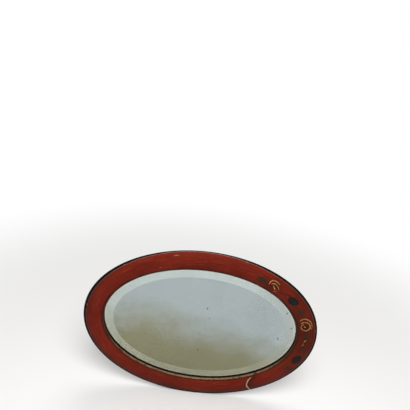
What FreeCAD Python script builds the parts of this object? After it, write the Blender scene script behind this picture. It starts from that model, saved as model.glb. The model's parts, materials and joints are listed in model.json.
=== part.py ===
import FreeCAD, Part
import math
import os

os.makedirs("parts", exist_ok=True)
V = FreeCAD.Vector

# Oval wall mirror, sizes in millimetres
# x runs to the painted end, y towards the wall, z up; y = 0 is the wall

# overall oval
OVAL_LENGTH = 700.0
OVAL_HEIGHT = 510.0

# frame moulding, measured inwards from the outer edge and forwards from its back
MOULDING_WIDTH = 62.0
BACK_BEVEL = 9.0
SIDE_HEIGHT = 12.5
ROUND_WIDTH = 4.0
ROUND_HEIGHT = 16.5
CREST_INSET = 30.0
CREST_HEIGHT = 22.0
CUSHION_END_HEIGHT = 17.0
GILT_WIDTH = 5.0
GILT_SWELL = 0.45
LIP_FRONT_HEIGHT = 12.5
REBATE_WIDTH = 8.0
GLUE_LINE = 0.06
SECTION_STEP_ANGLE = 5.0

# bird's-mouth joints between the four curved lengths: turn on the oval, inset
JOINT_OUTER_ANGLE = 58.2
JOINT_APEX_ANGLE = 58.2
JOINT_INNER_ANGLE = 48.5
JOINT_APEX_INSET = 34.0
JOINT_OVERCUT_ANGLE = 8.0
CUT_REACH = 60.0
KEY_LENGTH = 40.0
KEY_WIDTH = 20.0
KEY_THICKNESS = 4.0
KEY_INSET = 27.0
KEY_HEIGHT = 8.0
KEY_CLEARANCE = 0.08

# glass and what lies behind it
GLASS_THICKNESS = 6.0
GLASS_RIM = 3.0
BEVEL_WIDTH = 32.0
GLASS_PLAY = 2.0
GLASS_LIP_CLEARANCE = 0.15
SILVER_THICKNESS = 0.2
PAPER_THICKNESS = 0.3
STACK_CLEARANCE = 0.05
BLOCK_COUNT = 12
BLOCK_LENGTH = 26.0
BLOCK_WIDTH = 9.0
BLOCK_HEIGHT = 6.0
BLOCK_CLEARANCE = 0.08

# backboard and its countersunk screws
BOARD_THICKNESS = 5.0
BOARD_LAP = 10.0
SCREW_COUNT = 12
SCREW_HEAD_RADIUS = 2.8
SCREW_SHANK_RADIUS = 1.3
SCREW_LENGTH = 14.0
SCREW_SINK = 0.2
SCREW_CLEARANCE = 0.05
SLOT_WIDTH = 0.7
SLOT_DEPTH = 0.7

# ring hangers on the frame's back
HANGER_INSET = 22.0
HANGER_Z = 78.0
STRAP_THICKNESS = 0.9
STRAP_WIDTH = 12.0
STRAP_LENGTH = 34.0
WIRE_RADIUS = 1.2
WIRE_CLEARANCE = 0.08
KNUCKLE_WALL = 0.9
KNUCKLE_LIFT = 0.2
RING_HALF_WIDTH = 9.2
RING_CORNER = 2.6
RING_LEG = 5.0
STRAP_SCREW_DROPS = (20.5, 28.0)
STRAP_SCREW_HEAD_RADIUS = 3.2
STRAP_SCREW_HEAD_HEIGHT = 1.45
STRAP_SCREW_RADIUS = 1.5
STRAP_SCREW_LENGTH = 12.0
STRAP_HOLE_CLEARANCE = 0.1
SEAT_CLEARANCE = 0.03

# places that follow from the sizes above
HALF_LENGTH = OVAL_LENGTH / 2
HALF_HEIGHT = OVAL_HEIGHT / 2
FRAME_BACK = -BOARD_THICKNESS
SILVER_BACK = PAPER_THICKNESS + BLOCK_HEIGHT + 2 * STACK_CLEARANCE
GLASS_BACK = SILVER_BACK + SILVER_THICKNESS
GLASS_FRONT = GLASS_BACK + GLASS_THICKNESS
REBATE_INSET = MOULDING_WIDTH - REBATE_WIDTH
GLASS_INSET = REBATE_INSET + GLASS_PLAY
BEVEL_SLOPE = (GLASS_THICKNESS - GLASS_RIM) / BEVEL_WIDTH
LIP_BACK_HEIGHT = GLASS_BACK + GLASS_RIM + BEVEL_SLOPE * (MOULDING_WIDTH - GLASS_INSET) + GLASS_LIP_CLEARANCE
BOARD_INSET = REBATE_INSET - BOARD_LAP
BORE_RADIUS = WIRE_RADIUS + WIRE_CLEARANCE
KNUCKLE_RADIUS = BORE_RADIUS + KNUCKLE_WALL
HANGER_RUN = 1 - (HANGER_Z / (HALF_HEIGHT - HANGER_INSET)) ** 2
HANGER_X = (HALF_LENGTH - HANGER_INSET) * math.sqrt(HANGER_RUN)
PIVOT_Y = FRAME_BACK + KNUCKLE_RADIUS + KNUCKLE_LIFT


def place(turn, inset, height):
    """A point by turn on the oval, inset from the outer edge and height over the frame's back."""
    angle = math.radians(turn)
    x = (HALF_LENGTH - inset) * math.cos(angle)
    z = (HALF_HEIGHT - inset) * math.sin(angle)
    return V(x, FRAME_BACK - height, z)


def line(a, b):
    return Part.LineSegment(a, b).toShape()


def arc(a, b, c):
    return Part.Arc(a, b, c).toShape()


def polygon(points):
    return Part.Wire([line(p, q) for p, q in zip(points, points[1:] + points[:1])])


def cylinder(radius, length, start, direction):
    return Part.makeCylinder(radius, length, start, direction)


def oval_wire(inset, height):
    centre = V(0, FRAME_BACK - height, 0)
    ellipse = Part.Ellipse(place(0, inset, height), place(90, inset, height), centre)
    return Part.Wire([ellipse.toShape()])


def oval_plate(inset, low, high):
    """A flat oval plate between two heights."""
    face = Part.Face(oval_wire(inset, low))
    return face.extrude(V(0, low - high, 0))


def along_oval(turn):
    """Unit vector along the oval at a turn."""
    angle = math.radians(turn)
    step = V(-HALF_LENGTH * math.sin(angle), 0, HALF_HEIGHT * math.cos(angle))
    return step.normalize()


def box_at(turn, inset, low, high, length, width):
    """A block whose long side follows the oval."""
    along = along_oval(turn)
    across = V(along.z, 0, -along.x)
    centre = place(turn, inset, low)
    a = along * (length / 2)
    c = across * (width / 2)
    corners = [centre - a - c, centre + a - c, centre + a + c, centre - a + c]
    return Part.Face(polygon(corners)).extrude(V(0, low - high, 0))


def moulding_section(turn):
    """The frame's section at one turn of the oval."""
    def p(inset, height):
        return place(turn, inset, height)
    round_mid = ROUND_WIDTH * (1 - math.sqrt(0.5))
    round_mid_height = SIDE_HEIGHT + (ROUND_HEIGHT - SIDE_HEIGHT) * math.sqrt(0.5)
    cushion_end = MOULDING_WIDTH - GILT_WIDTH
    gilt_mid = cushion_end + GILT_WIDTH / 2 + GILT_SWELL
    gilt_mid_height = (CUSHION_END_HEIGHT + LIP_FRONT_HEIGHT) / 2 + GILT_SWELL
    edges = []
    edges.append(line(p(BACK_BEVEL, 0), p(0, SIDE_HEIGHT)))
    edges.append(arc(p(0, SIDE_HEIGHT), p(round_mid, round_mid_height), p(ROUND_WIDTH, ROUND_HEIGHT)))
    edges.append(arc(p(ROUND_WIDTH, ROUND_HEIGHT), p(CREST_INSET, CREST_HEIGHT),
                     p(cushion_end, CUSHION_END_HEIGHT)))
    edges.append(arc(p(cushion_end, CUSHION_END_HEIGHT), p(gilt_mid, gilt_mid_height),
                     p(MOULDING_WIDTH, LIP_FRONT_HEIGHT)))
    edges.append(line(p(MOULDING_WIDTH, LIP_FRONT_HEIGHT), p(MOULDING_WIDTH, LIP_BACK_HEIGHT)))
    edges.append(line(p(MOULDING_WIDTH, LIP_BACK_HEIGHT), p(REBATE_INSET, LIP_BACK_HEIGHT)))
    edges.append(line(p(REBATE_INSET, LIP_BACK_HEIGHT), p(REBATE_INSET, 0)))
    edges.append(line(p(REBATE_INSET, 0), p(BACK_BEVEL, 0)))
    return Part.Wire(edges)


def moulding(start, end):
    """A curved length of moulding between two turns."""
    count = max(4, int(round((end - start) / SECTION_STEP_ANGLE)))
    turns = [start + (end - start) * k / count for k in range(count + 1)]
    return Part.makeLoft([moulding_section(t) for t in turns], True, False)


def joint_line(side_x, side_z):
    """The joint's path over the frame, from inside the opening to outside the oval."""
    inner = place(JOINT_INNER_ANGLE, MOULDING_WIDTH, 0)
    apex = place(JOINT_APEX_ANGLE, JOINT_APEX_INSET, 0)
    outer = place(JOINT_OUTER_ANGLE, 0, 0)
    path = [inner + (inner - apex) * 0.3, apex, outer + (outer - apex) * 0.5]
    return [V(side_x * q.x, 0, side_z * q.z) for q in path]


def joint_prism(points):
    lifted = [V(q.x, 0, q.z) for q in points]
    return Part.Face(polygon(lifted)).extrude(V(0, -CUT_REACH, 0))


def end_length(side):
    """The curved length at one end of the oval."""
    reach = JOINT_APEX_ANGLE + JOINT_OVERCUT_ANGLE
    middle = 0 if side > 0 else 180
    body = moulding(middle - reach, middle + reach)
    low = joint_line(side, -1)
    high = joint_line(side, 1)
    far = HALF_LENGTH + CUT_REACH
    outside = [V(side * far, 0, -OVAL_HEIGHT), V(side * far, 0, OVAL_HEIGHT)]
    return body.common(joint_prism(low + outside + high[::-1]))


def rail_length(side):
    """The curved length along the top or the bottom of the oval."""
    reach = 90 - JOINT_INNER_ANGLE + JOINT_OVERCUT_ANGLE
    middle = 90 if side > 0 else 270
    body = moulding(middle - reach, middle + reach)
    right = [q - V(GLUE_LINE, 0, 0) for q in joint_line(1, side)]
    left = [q + V(GLUE_LINE, 0, 0) for q in joint_line(-1, side)]
    far = HALF_HEIGHT + CUT_REACH
    outside = [V(right[-1].x, 0, side * far), V(left[-1].x, 0, side * far)]
    return body.common(joint_prism(right + outside + left[::-1]))


KEY_ANGLE = (JOINT_OUTER_ANGLE + JOINT_APEX_ANGLE) / 2 - 0.5
KEY_ANGLES = (KEY_ANGLE, 180 - KEY_ANGLE, 180 + KEY_ANGLE, 360 - KEY_ANGLE)


def key(turn, slack):
    """A loose wooden tongue across one joint."""
    low = KEY_HEIGHT - KEY_THICKNESS / 2 - slack
    high = KEY_HEIGHT + KEY_THICKNESS / 2 + slack
    return box_at(turn, KEY_INSET, low, high, KEY_LENGTH + 2 * slack, KEY_WIDTH + 2 * slack)


def backboard_screw_places():
    inset = REBATE_INSET - BOARD_LAP / 2
    step = 360.0 / SCREW_COUNT
    return [place(step * (k + 0.5), inset, 0) for k in range(SCREW_COUNT)]


def sunk_screw(at, slack):
    """A countersunk screw driven forwards from the board's back."""
    back = V(at.x, -SCREW_SINK, at.z)
    head_depth = SCREW_HEAD_RADIUS - SCREW_SHANK_RADIUS
    ahead = V(0, -1, 0)
    head = Part.makeCone(SCREW_HEAD_RADIUS + slack, SCREW_SHANK_RADIUS + slack, head_depth, back, ahead)
    start = back + ahead * (head_depth - 0.2)
    shank = cylinder(SCREW_SHANK_RADIUS + slack, SCREW_LENGTH - head_depth + 0.2 + slack, start, ahead)
    solid = head.fuse(shank)
    if slack > 0:
        mouth = cylinder(SCREW_HEAD_RADIUS + slack, SCREW_SINK + 1, back, V(0, 1, 0))
        return solid.fuse(mouth)
    slot = Part.makeBox(SCREW_HEAD_RADIUS * 3, SLOT_DEPTH, SLOT_WIDTH)
    slot.translate(back - V(SCREW_HEAD_RADIUS * 1.5, SLOT_DEPTH, SLOT_WIDTH / 2))
    return solid.cut(slot)


def strap_screw_places(side):
    return [V(side * HANGER_X, FRAME_BACK, HANGER_Z - drop) for drop in STRAP_SCREW_DROPS]


def strap_screw(at):
    """A round-headed screw holding a hanger strap."""
    seat = at + V(0, STRAP_THICKNESS + SEAT_CLEARANCE * 2, 0)
    shank_length = STRAP_SCREW_LENGTH + STRAP_THICKNESS
    shank = cylinder(STRAP_SCREW_RADIUS, shank_length + 0.2, seat + V(0, 0.2, 0), V(0, -1, 0))
    crown = STRAP_SCREW_HEAD_HEIGHT
    ball_radius = (STRAP_SCREW_HEAD_RADIUS ** 2 + crown ** 2) / (2 * crown)
    ball = Part.makeSphere(ball_radius, seat - V(0, ball_radius - crown, 0))
    keep = cylinder(STRAP_SCREW_HEAD_RADIUS * 1.2, crown * 2, seat, V(0, 1, 0))
    slot = Part.makeBox(STRAP_SCREW_HEAD_RADIUS * 3, SLOT_DEPTH * 2, SLOT_WIDTH)
    slot.translate(seat + V(-STRAP_SCREW_HEAD_RADIUS * 1.5, crown - SLOT_DEPTH, -SLOT_WIDTH / 2))
    return ball.common(keep).fuse(shank).cut(slot)


def strap(side):
    """A hanger strap: a flat tongue with its upper end rolled round the ring."""
    x = side * HANGER_X
    half = STRAP_WIDTH / 2
    low = HANGER_Z - STRAP_LENGTH
    y = FRAME_BACK + SEAT_CLEARANCE
    edges = []
    edges.append(line(V(x - half, y, HANGER_Z), V(x - half, y, low + half)))
    edges.append(arc(V(x - half, y, low + half), V(x, y, low), V(x + half, y, low + half)))
    edges.append(line(V(x + half, y, low + half), V(x + half, y, HANGER_Z)))
    edges.append(line(V(x + half, y, HANGER_Z), V(x - half, y, HANGER_Z)))
    plate = Part.Face(Part.Wire(edges)).extrude(V(0, STRAP_THICKNESS, 0))
    pivot = V(x - half, PIVOT_Y, HANGER_Z)
    roll = cylinder(KNUCKLE_RADIUS, STRAP_WIDTH, pivot, V(1, 0, 0))
    web = Part.makeBox(STRAP_WIDTH, PIVOT_Y - y, KNUCKLE_WALL, V(x - half, y, HANGER_Z - KNUCKLE_RADIUS))
    solid = plate.fuse([roll, web])
    solid = solid.cut(cylinder(BORE_RADIUS, STRAP_WIDTH + 2, pivot - V(1, 0, 0), V(1, 0, 0)))
    for at in strap_screw_places(side):
        hole = STRAP_SCREW_RADIUS + STRAP_HOLE_CLEARANCE
        solid = solid.cut(cylinder(hole, 10, at - V(0, 5, 0), V(0, 1, 0)))
    return solid.removeSplitter()


def ring(side):
    """A bent wire ring hanging from the strap's rolled end."""
    x = side * HANGER_X
    half = RING_HALF_WIDTH
    corner = RING_CORNER

    def p(across, drop):
        return V(x + across, PIVOT_Y, HANGER_Z - drop)
    middle = V(x, PIVOT_Y, HANGER_Z)
    pieces = [cylinder(WIRE_RADIUS, 2 * (half - corner), middle - V(half - corner, 0, 0), V(1, 0, 0))]
    for s in (-1, 1):
        leg = p(s * half, RING_LEG)
        pieces.append(cylinder(WIRE_RADIUS, RING_LEG - corner, leg, V(0, 0, 1)))
        bend = Part.makeTorus(corner, WIRE_RADIUS, p(s * (half - corner), corner), V(0, 1, 0))
        keep = Part.makeBox(corner + 2 * WIRE_RADIUS, 4 * WIRE_RADIUS, corner + 2 * WIRE_RADIUS)
        keep.translate(V(0 if s > 0 else -(corner + 2 * WIRE_RADIUS), -2 * WIRE_RADIUS, 0))
        keep.translate(p(s * (half - corner), corner))
        pieces.append(bend.common(keep))
    bow = Part.makeTorus(half, WIRE_RADIUS, p(0, RING_LEG), V(0, 1, 0))
    span = half + 2 * WIRE_RADIUS
    below = Part.makeBox(2 * span, 4 * WIRE_RADIUS, span, p(-span, RING_LEG + span) - V(0, 2 * WIRE_RADIUS, 0))
    pieces.append(bow.common(below))
    return pieces[0].fuse(pieces[1:]).removeSplitter()


def glass():
    """The mirror plate, with a wide ground bevel."""
    rim = oval_plate(GLASS_INSET, GLASS_BACK, GLASS_BACK + GLASS_RIM)
    low = oval_wire(GLASS_INSET, GLASS_BACK + GLASS_RIM)
    high = oval_wire(GLASS_INSET + BEVEL_WIDTH, GLASS_FRONT)
    return rim.fuse(Part.makeLoft([low, high], True, True)).removeSplitter()


def glazing_blocks():
    """Small wooden blocks glued to the rebate wall that hold the plate from behind."""
    low = PAPER_THICKNESS + STACK_CLEARANCE
    high = SILVER_BACK - STACK_CLEARANCE
    wall = oval_plate(REBATE_INSET + BLOCK_CLEARANCE, low, high)
    blocks = []
    for k in range(BLOCK_COUNT):
        turn = 360.0 * k / BLOCK_COUNT
        block = box_at(turn, REBATE_INSET + BLOCK_WIDTH / 2, low, high, BLOCK_LENGTH, BLOCK_WIDTH)
        blocks.append(block.common(wall))
    return Part.makeCompound(blocks)


def save(shape, name):
    solids = shape.Solids
    for solid in solids:
        if not solid.isValid() or solid.Volume <= 0:
            raise ValueError("bad solid in " + name)
    keep = solids[0] if len(solids) == 1 else Part.makeCompound(solids)
    keep.exportStep("parts/" + name + ".step")
    print(name, len(solids), round(sum(s.Volume for s in solids), 1))


def build():
    lengths = {"frame_top_rail": rail_length(1), "frame_bottom_rail": rail_length(-1),
               "frame_left_end": end_length(-1), "frame_right_end": end_length(1)}
    cutters = [key(turn, KEY_CLEARANCE) for turn in KEY_ANGLES]
    cutters += [sunk_screw(at, SCREW_CLEARANCE) for at in backboard_screw_places()]
    for side in (-1, 1):
        for at in strap_screw_places(side):
            depth = STRAP_SCREW_LENGTH + STRAP_HOLE_CLEARANCE
            cutters.append(cylinder(STRAP_SCREW_RADIUS + STRAP_HOLE_CLEARANCE, depth + 1, at + V(0, 1, 0),
                                    V(0, -1, 0)))
    for name, shape in lengths.items():
        box = shape.BoundBox
        near = [c for c in cutters if box.intersect(c.BoundBox)]
        save(shape.cut(near), name)
    key_names = ("joint_key_top_right", "joint_key_top_left", "joint_key_bottom_left", "joint_key_bottom_right")
    for name, turn in zip(key_names, KEY_ANGLES):
        save(key(turn, 0), name)
    save(glass(), "mirror_glass")
    save(oval_plate(GLASS_INSET, SILVER_BACK, GLASS_BACK), "silvering")
    save(glazing_blocks(), "glazing_blocks")
    board = oval_plate(BOARD_INSET, -BOARD_THICKNESS, 0)
    save(board.cut([sunk_screw(at, SCREW_CLEARANCE) for at in backboard_screw_places()]), "backboard")
    save(oval_plate(REBATE_INSET + GLASS_PLAY, 0, PAPER_THICKNESS), "backing_paper")
    save(Part.makeCompound([sunk_screw(at, 0) for at in backboard_screw_places()]), "backboard_screws")
    screws = []
    for side, name in ((-1, "left"), (1, "right")):
        save(strap(side), "hanger_strap_" + name)
        save(ring(side), "hanger_ring_" + name)
        screws += [strap_screw(at) for at in strap_screw_places(side)]
    save(Part.makeCompound(screws), "hanger_screws")


build()
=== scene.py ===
import heapq
import itertools
import json
import math
import bmesh
import bpy
from mathutils import Matrix, Vector


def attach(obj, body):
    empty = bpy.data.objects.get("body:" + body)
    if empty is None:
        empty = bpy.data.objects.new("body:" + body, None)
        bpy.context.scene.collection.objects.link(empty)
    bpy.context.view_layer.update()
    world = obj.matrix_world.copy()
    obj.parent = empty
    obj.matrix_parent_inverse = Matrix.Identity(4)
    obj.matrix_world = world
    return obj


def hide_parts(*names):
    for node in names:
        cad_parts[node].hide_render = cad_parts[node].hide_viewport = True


# Oval wall mirror: red lacquered moulding, gilt sight edge, bevelled plate, ring hangers
# Shapes are laid out flat as turn (degrees), inset and height (mm), then wrapped round the oval

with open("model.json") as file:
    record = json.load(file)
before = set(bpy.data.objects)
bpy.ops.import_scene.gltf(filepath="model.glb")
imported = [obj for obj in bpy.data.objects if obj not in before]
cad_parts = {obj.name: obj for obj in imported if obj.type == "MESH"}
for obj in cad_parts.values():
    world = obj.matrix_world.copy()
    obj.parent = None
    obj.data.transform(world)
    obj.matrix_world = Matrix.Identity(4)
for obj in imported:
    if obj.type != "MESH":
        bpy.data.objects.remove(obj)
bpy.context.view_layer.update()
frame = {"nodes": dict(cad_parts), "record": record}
ROOT_BODY = "mirror"
MM = 0.001

# oval and moulding, as in the model
HALF_LENGTH = 350.0
HALF_HEIGHT = 255.0
FRAME_BACK = 5.0
MOULDING_WIDTH = 62
BACK_BEVEL = 9
SIDE_HEIGHT = 12.5
ROUND_WIDTH = 4
ROUND_HEIGHT = 16.5
CREST_INSET = 30
CREST_HEIGHT = 22
CUSHION_END = 57
CUSHION_END_HEIGHT = 17
GILT_SWELL = 0.45
LIP_FRONT_HEIGHT = 12.5
LIP_BACK_HEIGHT = 10.3125
REBATE_INSET = 54

# points on each stretch of the section, and cross-sections along a length: close at its joints, even between
ZONE_POINTS = {"side": 6, "round": 10, "cushion": 46, "gilt": 8, "lip": 3, "under": 3, "wall": 4, "back": 10}
NEAR_COLUMNS = (0, 0.4, 0.8, 1.3, 1.9, 2.6, 3.6, 5, 7)
NEAR_REACH = 10
COLUMN_STEP = 2.8
FRAME_SHARP = 32

# joints between the four curved lengths
JOINT_OUTER_ANGLE = 58.2
JOINT_APEX_ANGLE = 58.2
JOINT_INNER_ANGLE = 48.5
JOINT_APEX_INSET = 34
CORNER_EASE = 8
GLUE_LINE = 0.06

# the lengths: node, each end as a turn and the sign of the joint's turn added to it, and the opened end
FRAME_LENGTHS = (
    ("frame_right_end", (0, -1), (0, 1), 0),
    ("frame_top_rail", (0, 1), (180, -1), None),
    ("frame_left_end", (180, -1), (180, 1), None),
    ("frame_bottom_rail", (180, 1), (360, -1), 1))

# the opened lower right joint
CRACK_WIDTH = 2.4
CRACK_START = 12
CRACK_TAPER = 14
CRACK_LEAST = 0.1
CRACK_FLOOR = 9
CRACK_DEPTH_FADE = 5
CRACK_SLANT_GAIN = 1.2
CRACK_SLANT_FADE = 8
CRACK_RIPPLE = 0.55
CRACK_WAVES = (0.8, 0.37)

# pale ground and brown wood beside it: how wide, and how much for no open end, the right end, the bottom rail
LIFTED_WIDTH = 6
LIFTED_SHARE = {None: 0, 0: 0.2, 1: 1}
BARED_WIDTH = 15
BARED_SHARE = {None: 0, 0: 0.85, 1: 0.4}
LACQUER_END = 49
LACQUER_FADE = 7
FACE_MARGIN = 2

# knocks on the lacquer: turn, distance round the section, half length, half height (mm)
KNOCKS = (
    (104.6, 29.6, 10, 1.5), (114.5, 61.5, 3.5, 1.4), (90.2, 44.5, 5, 0.9), (132, 22.8, 5, 1.6),
    (71, 22.3, 7, 1.2), (-37, 22, 6, 1.3), (212, 23.3, 6, 1.6), (251, 31.3, 3, 1),
    (283, 65.3, 3, 1), (8, 22.1, 5, 0.9), (171, 25.3, 3.5, 1.2))

# brown shading under the painting, and painted shade: turn, inset, half length, half width (mm), strength
STAINS_AND_SHADE = (
    (51.5, 31, 22, 18, 0.8), (13, 31, 28, 20, 0.95), (59, 35, 17, 12, 0.75),
    (35.8, 31.8, 19, 16, 0.95), (25.7, 31, 17, 14, 0.85), (2.5, 33, 16, 13, 0.9),
    (-8, 30, 16, 15, 0.8), (-19, 28.6, 18, 15, 0.85), (-28.6, 26, 13, 15, 0.7),
    # painted shade: these two rows darken the whole right end, mixed there with the painting's brown, and the
    # bottom rail
    (6, 34, 150, 30, 0.66), (250, 32, 105, 40, 0.26))

# wear along the top and painted light and shade round the frame: turns and spreads in degrees, reaches in mm
WORN_AND_LIT_TURN = 95
WORN_AND_LIT_SPREAD = 42
WORN_AND_LIT_LEAST = 0.08
RIM_BROAD = 5.4
RIM_TOP_LOSS = 8.6
RIM_NARROW_TURN = 18
RIM_NARROW_SPREAD = 34
RIM_NARROW_LOSS = 2.6
GILT_SHADE_LOSS = 0.85
GILT_FADE_START = -0.85
GILT_FADE_WIDTH = 0.6

# plate
GLASS_INSET = 56
GLASS_BACK = 6.7
GLASS_RIM = 9.6
GLASS_FRONT = 12.6
GLASS_ARRIS = (0.3, 0.25)
BEVEL_WIDTH = 32
SILVER_BACK = 6.4
SILVER_FRONT = 6.6
# reach of the painted highlight ring in the silver past the sight edge
RIM_GLOW = 5
PLATE_SIDES = 360
PLATE_SHARES = (0.08, 0.25, 0.5, 0.75)
PLATE_SHARP = 1.5

# flakes in the silver: places of the large ones (x and z), and small ones strewn in from the sight edge
FLAKE_PLACES = (
    (17.7, 65.1), (2.1, -88.6), (237.5, -13.6), (272.5, 28.2), (251.9, 79.1), (-39, -117.9), (27.2, 30.6))
FLAKE_OUTLINE = (1, 0.55, 0.42, 0.5, 0.62, 0.85, 0.6, 0.4, 0.38, 0.52)
FLAKE_HALF = 0.006
FLAKE_FLATNESS = 0.7
FLAKE_SHARP = 30
FLAKE_SPIN = (0, 6.283, 0)
RIM_SPECKS = 90
SPECK_START = 2
SPECK_REACH = 26
GOLDEN_TURN = 137.508
GOLDEN_SHARE = 0.618034

# brush strokes: shares across with a raised middle, and how the paint thins at its edge and root (mm)
STROKE_SHARES = (-1, -0.55, 0, 0.55, 1)
STROKE_FULL = 0.6
STROKE_EDGE = 0.02
STROKE_ROOT = 0.3
STROKE_SHARP = 60
TIP_SHARE = 0.35
TIP_LENGTH = 0.06
TAIL_START = 0.3
WAVER = 0.1
WAVER_RATE = 17
WAVER_SHIFT = 9
BLADE_FULLNESS = 0.8
LEAST_BLADE = 0.12
LEAST_DAUB = 0.15
DAUB_STEPS = 18
DAUB_REACH = 0.98
SHORT_STROKE = 14

# gold scrolls: controls as turn and inset, half width, tail; or angle and radius about a centre
UPPER_SCROLL = (
    (((54.7, 36), (55.2, 27.2), (54.3, 19), (52.1, 18.4), (50.1, 20.3)), 1.7, 0.5),
    (((53.6, 31.6), (53.3, 27.6), (51.5, 26.4), (49.4, 29.6), (48, 35.4)), 1.5, 0.6),
    (((52.3, 33.5), (51.4, 36.4), (50.6, 38.2), (49.2, 42.5)), 1.3, 0.7),
    (((49.3, 48), (48.2, 46), (47.9, 40.9)), 0.8, 0.5))
UPPER_DAB = (50.3, 38.6)
LOWER_SCROLL = (13.4, 35.2)
LOWER_SWEEP = (
    (26, 21.6), (18, 22.8), (0, 24.6), (-16, 25.1), (-45, 23), (-76, 20.8), (-107, 20.8), (-128, 21))
LOWER_RING = (
    (46, 13.2), (39, 13.6), (3, 13.7), (-40, 14), (-83, 14.6), (-120, 15.6), (-161, 16.1),
    (-190, 16), (-212, 15.4), (-245, 13), (-280, 9.6), (-315, 7.4), (-350, 6.4))
LOWER_DAB = (-2.8, 0.8)

# sprigs, leaves and stems: a centre, then places by mm along the oval and inwards, and half widths
SPRIG = (-1.6, 34.6)
SPRIG_STROKES = (
    (((-9.5, 2.6), (-4, 1.4), (1.5, 0)), 0.75), (((1, 0), (6, -2.6), (9.5, -5.6)), 0.8),
    (((1.5, 0), (5, 1.6), (8, 2.6)), 0.75), (((-14, 5), (-12, 2), (-11.5, -2)), 0.6))
FIRST_SPRAY = (59.2, 34.6)
LAST_SPRAY = (-28.4, 27.6)
LEAVES = (
    (FIRST_SPRAY, (((-22, 6), (-8, 3), (8, 1.8), 3.6), ((-4, 1), (8, -2.6), (21, -3.4), 4.2),
                   ((-5, 3), (6, 4.4), (18, 4.6), 3.2), ((-9, 1), (-1, -5), (8, -9), 3.2),
                   ((-16, 4), (-12, -1.5), (-8, -7), 2.8))),
    ((25.6, 32.2), (((13, 7), (3, 1.5), (-9, -4), 3.1), ((11, 4), (4, -3), (-3, -8), 2.5),
                    ((6, 6.5), (-3, 5), (-11, 1.5), 2.5), ((-6, -2), (-13, -5), (-19, -7), 1.9))),
    ((3.9, 34.6), (((11, 4.5), (2, 1), (-8, -4.5), 2.9), ((8, 0), (1, -4), (-6, -7), 2),
                   ((6, 5.5), (-1, 4.5), (-7, 2), 2))),
    ((-7.8, 31.2), (((-13, 5), (-4, 3.4), (4, 1.2), 2), ((-7, -3), (1, -5), (9, -6), 2.2),
                    ((-12, -6), (-9, -12), (-8, -17), 1.9), ((-4, 1), (-9, -3), (-15, -4), 1.8),
                    ((2, -2), (6, -9), (7, -14), 1.7))),
    (LAST_SPRAY, (((9, 6), (0, 3), (-8, -3), 2.9), ((4, -2), (-2, -9), (-6, -17), 2.7),
                  ((7, 1), (1, -4), (-2, -9), 2.2))))
FIRST_STEM = ((-25, 5.5), (-16, 5.2), (-8, 3))
LAST_STEM = ((10, 19), (2.5, 14), (-0.5, 7), (1, 1))
MIDDLE_STEM = ((-12.5, 33), (-14.5, 32), (-16.6, 30.5))
STEM_LIFT = 0.18

# blossoms: centre, radius, stretch, first petal's angle; hearts: centre, shift, radius, stretch
UPPER_BLOSSOM = (35.8, 31.8)
LOWER_BLOSSOM = (-19, 28.6)
BLOSSOMS = ((UPPER_BLOSSOM, 14, 1.28, 8), (LOWER_BLOSSOM, 13.4, 1.42, 30))
HEARTS = ((UPPER_BLOSSOM, -2, 8, 1.25), (LOWER_BLOSSOM, -0.5, 7.2, 1.4))
BLOSSOM_STEM = ((47, 36), (45.4, 37), (43.7, 35.5), (42.4, 32.4), (41.1, 29.1), (39.4, 29))
PETALS = 9
MIDDLE_SHARE = 0.95
PETAL_SHARES = (0.2, 0.62, 1)
PETAL_BOW = 0.08
PETAL_WIDTH = 0.4

# camera, from the photograph's perspective
CAMERA_PLACE = Vector((-0.0083, -1.0527, 0.8025))
CAMERA_FORWARD = Vector((-0.0119, 0.9295, -0.3687))
CAMERA_UP = Vector((-0.1096, 0.3653, 0.9244))
CAMERA_LENS = 36.88

# floor, surround and lamps: place, aim, size (m), power (W), colour
FLOOR_LEVEL = -HALF_HEIGHT * MM
FLOOR_GAP = 0.0005
FLOOR_RADIUS = 9
FLOOR_SIDES = 96
FLOOR_PALE = (0.93, 0.93, 0.925, 1)
FLOOR_BOUNCE = (0.26, 0.26, 0.25, 1)
FADE_START = 0.55
FADE_END = 1.7
WORLD_STRENGTH = 0.3
LAMPS = {
    "key_lamp": ((0.15, -1.15, 1.75), (0, 0, 0), 1.2, 34, (1, 0.98, 0.96)),
    "fill_lamp": ((-2.2, -2, 0.7), (0, 0, 0), 1.6, 8, (0.96, 0.98, 1)),
    "back_lamp": ((0.1, 0.9, 2.5), (0, 0.1, FLOOR_LEVEL), 1.6, 22, (1, 1, 1))}

# finishes
RED = (0.198, 0.0158, 0.006, 1)
RED_DEEP = (0.128, 0.0094, 0.0041, 1)
# painted shade on the outer cushion away from the top
RED_PAINTED_SHADE = (0.05, 0.006, 0.003, 1)
RED_BRIGHT = (0.3, 0.042, 0.019, 1)
# brown of stains and toned ground, also laid as painted shade over the right end, the bottom rail and the
# sight edge's upper slope
STAIN_AND_SHADE_BROWN = (0.031, 0.0088, 0.0029, 1)
# dark of the outer edge, specks and seams, also painted as shade on the lip and where the edge spreads over
# the lower cushion
EDGE_DARK = (0.008, 0.003, 0.002, 1)
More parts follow.
